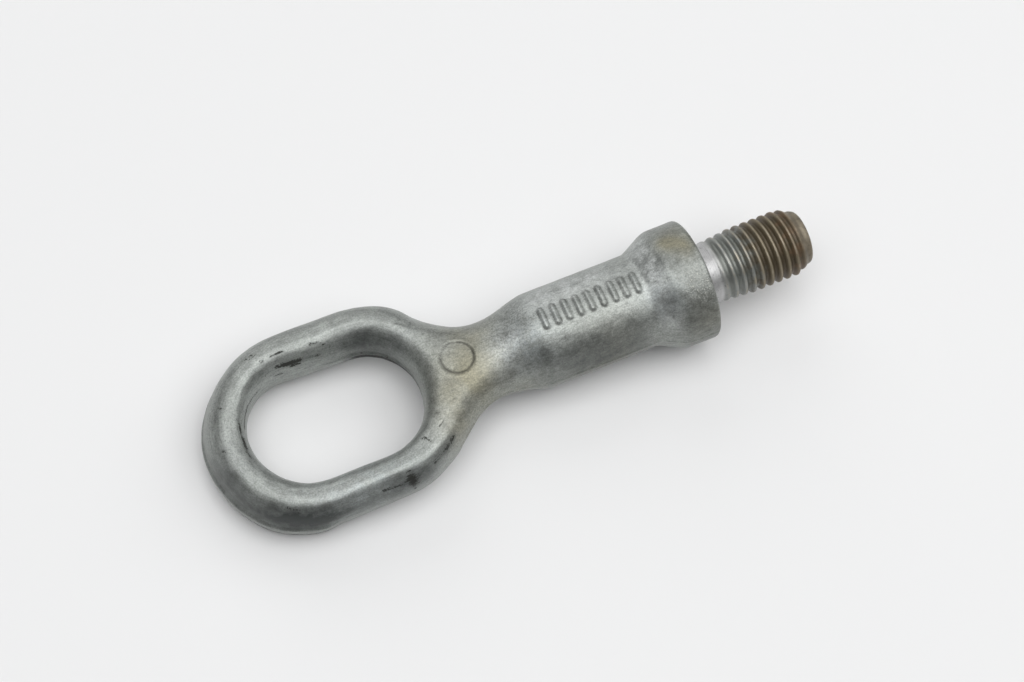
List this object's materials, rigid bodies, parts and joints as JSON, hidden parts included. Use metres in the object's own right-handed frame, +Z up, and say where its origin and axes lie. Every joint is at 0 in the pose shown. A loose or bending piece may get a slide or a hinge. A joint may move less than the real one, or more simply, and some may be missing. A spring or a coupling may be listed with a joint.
{
  "type": "tow eye",
  "caption": "Screw-in forged tow eye: oval ring for a hook or rope, waisted neck, round shank, flared flange with a flat seat, and a threaded stud.",
  "frame": {"origin": "on the surface that the tow eye lies on, under the middle of its length and width", "axes": "+X towards the stud, +Z up, +Y across the eye; the stud's axis rises 3.8 degrees towards the stud"},
  "size_m": [0.1641, 0.0528, 0.0324],
  "materials": {
    "zinc_coated_steel": "dull grey zinc coat over forged steel, stained, with a bright turned neck and a rusty thread"
  },
  "bodies": {
    "root": {"tow_eye": "zinc_coated_steel"}
  },
  "joints": []
}
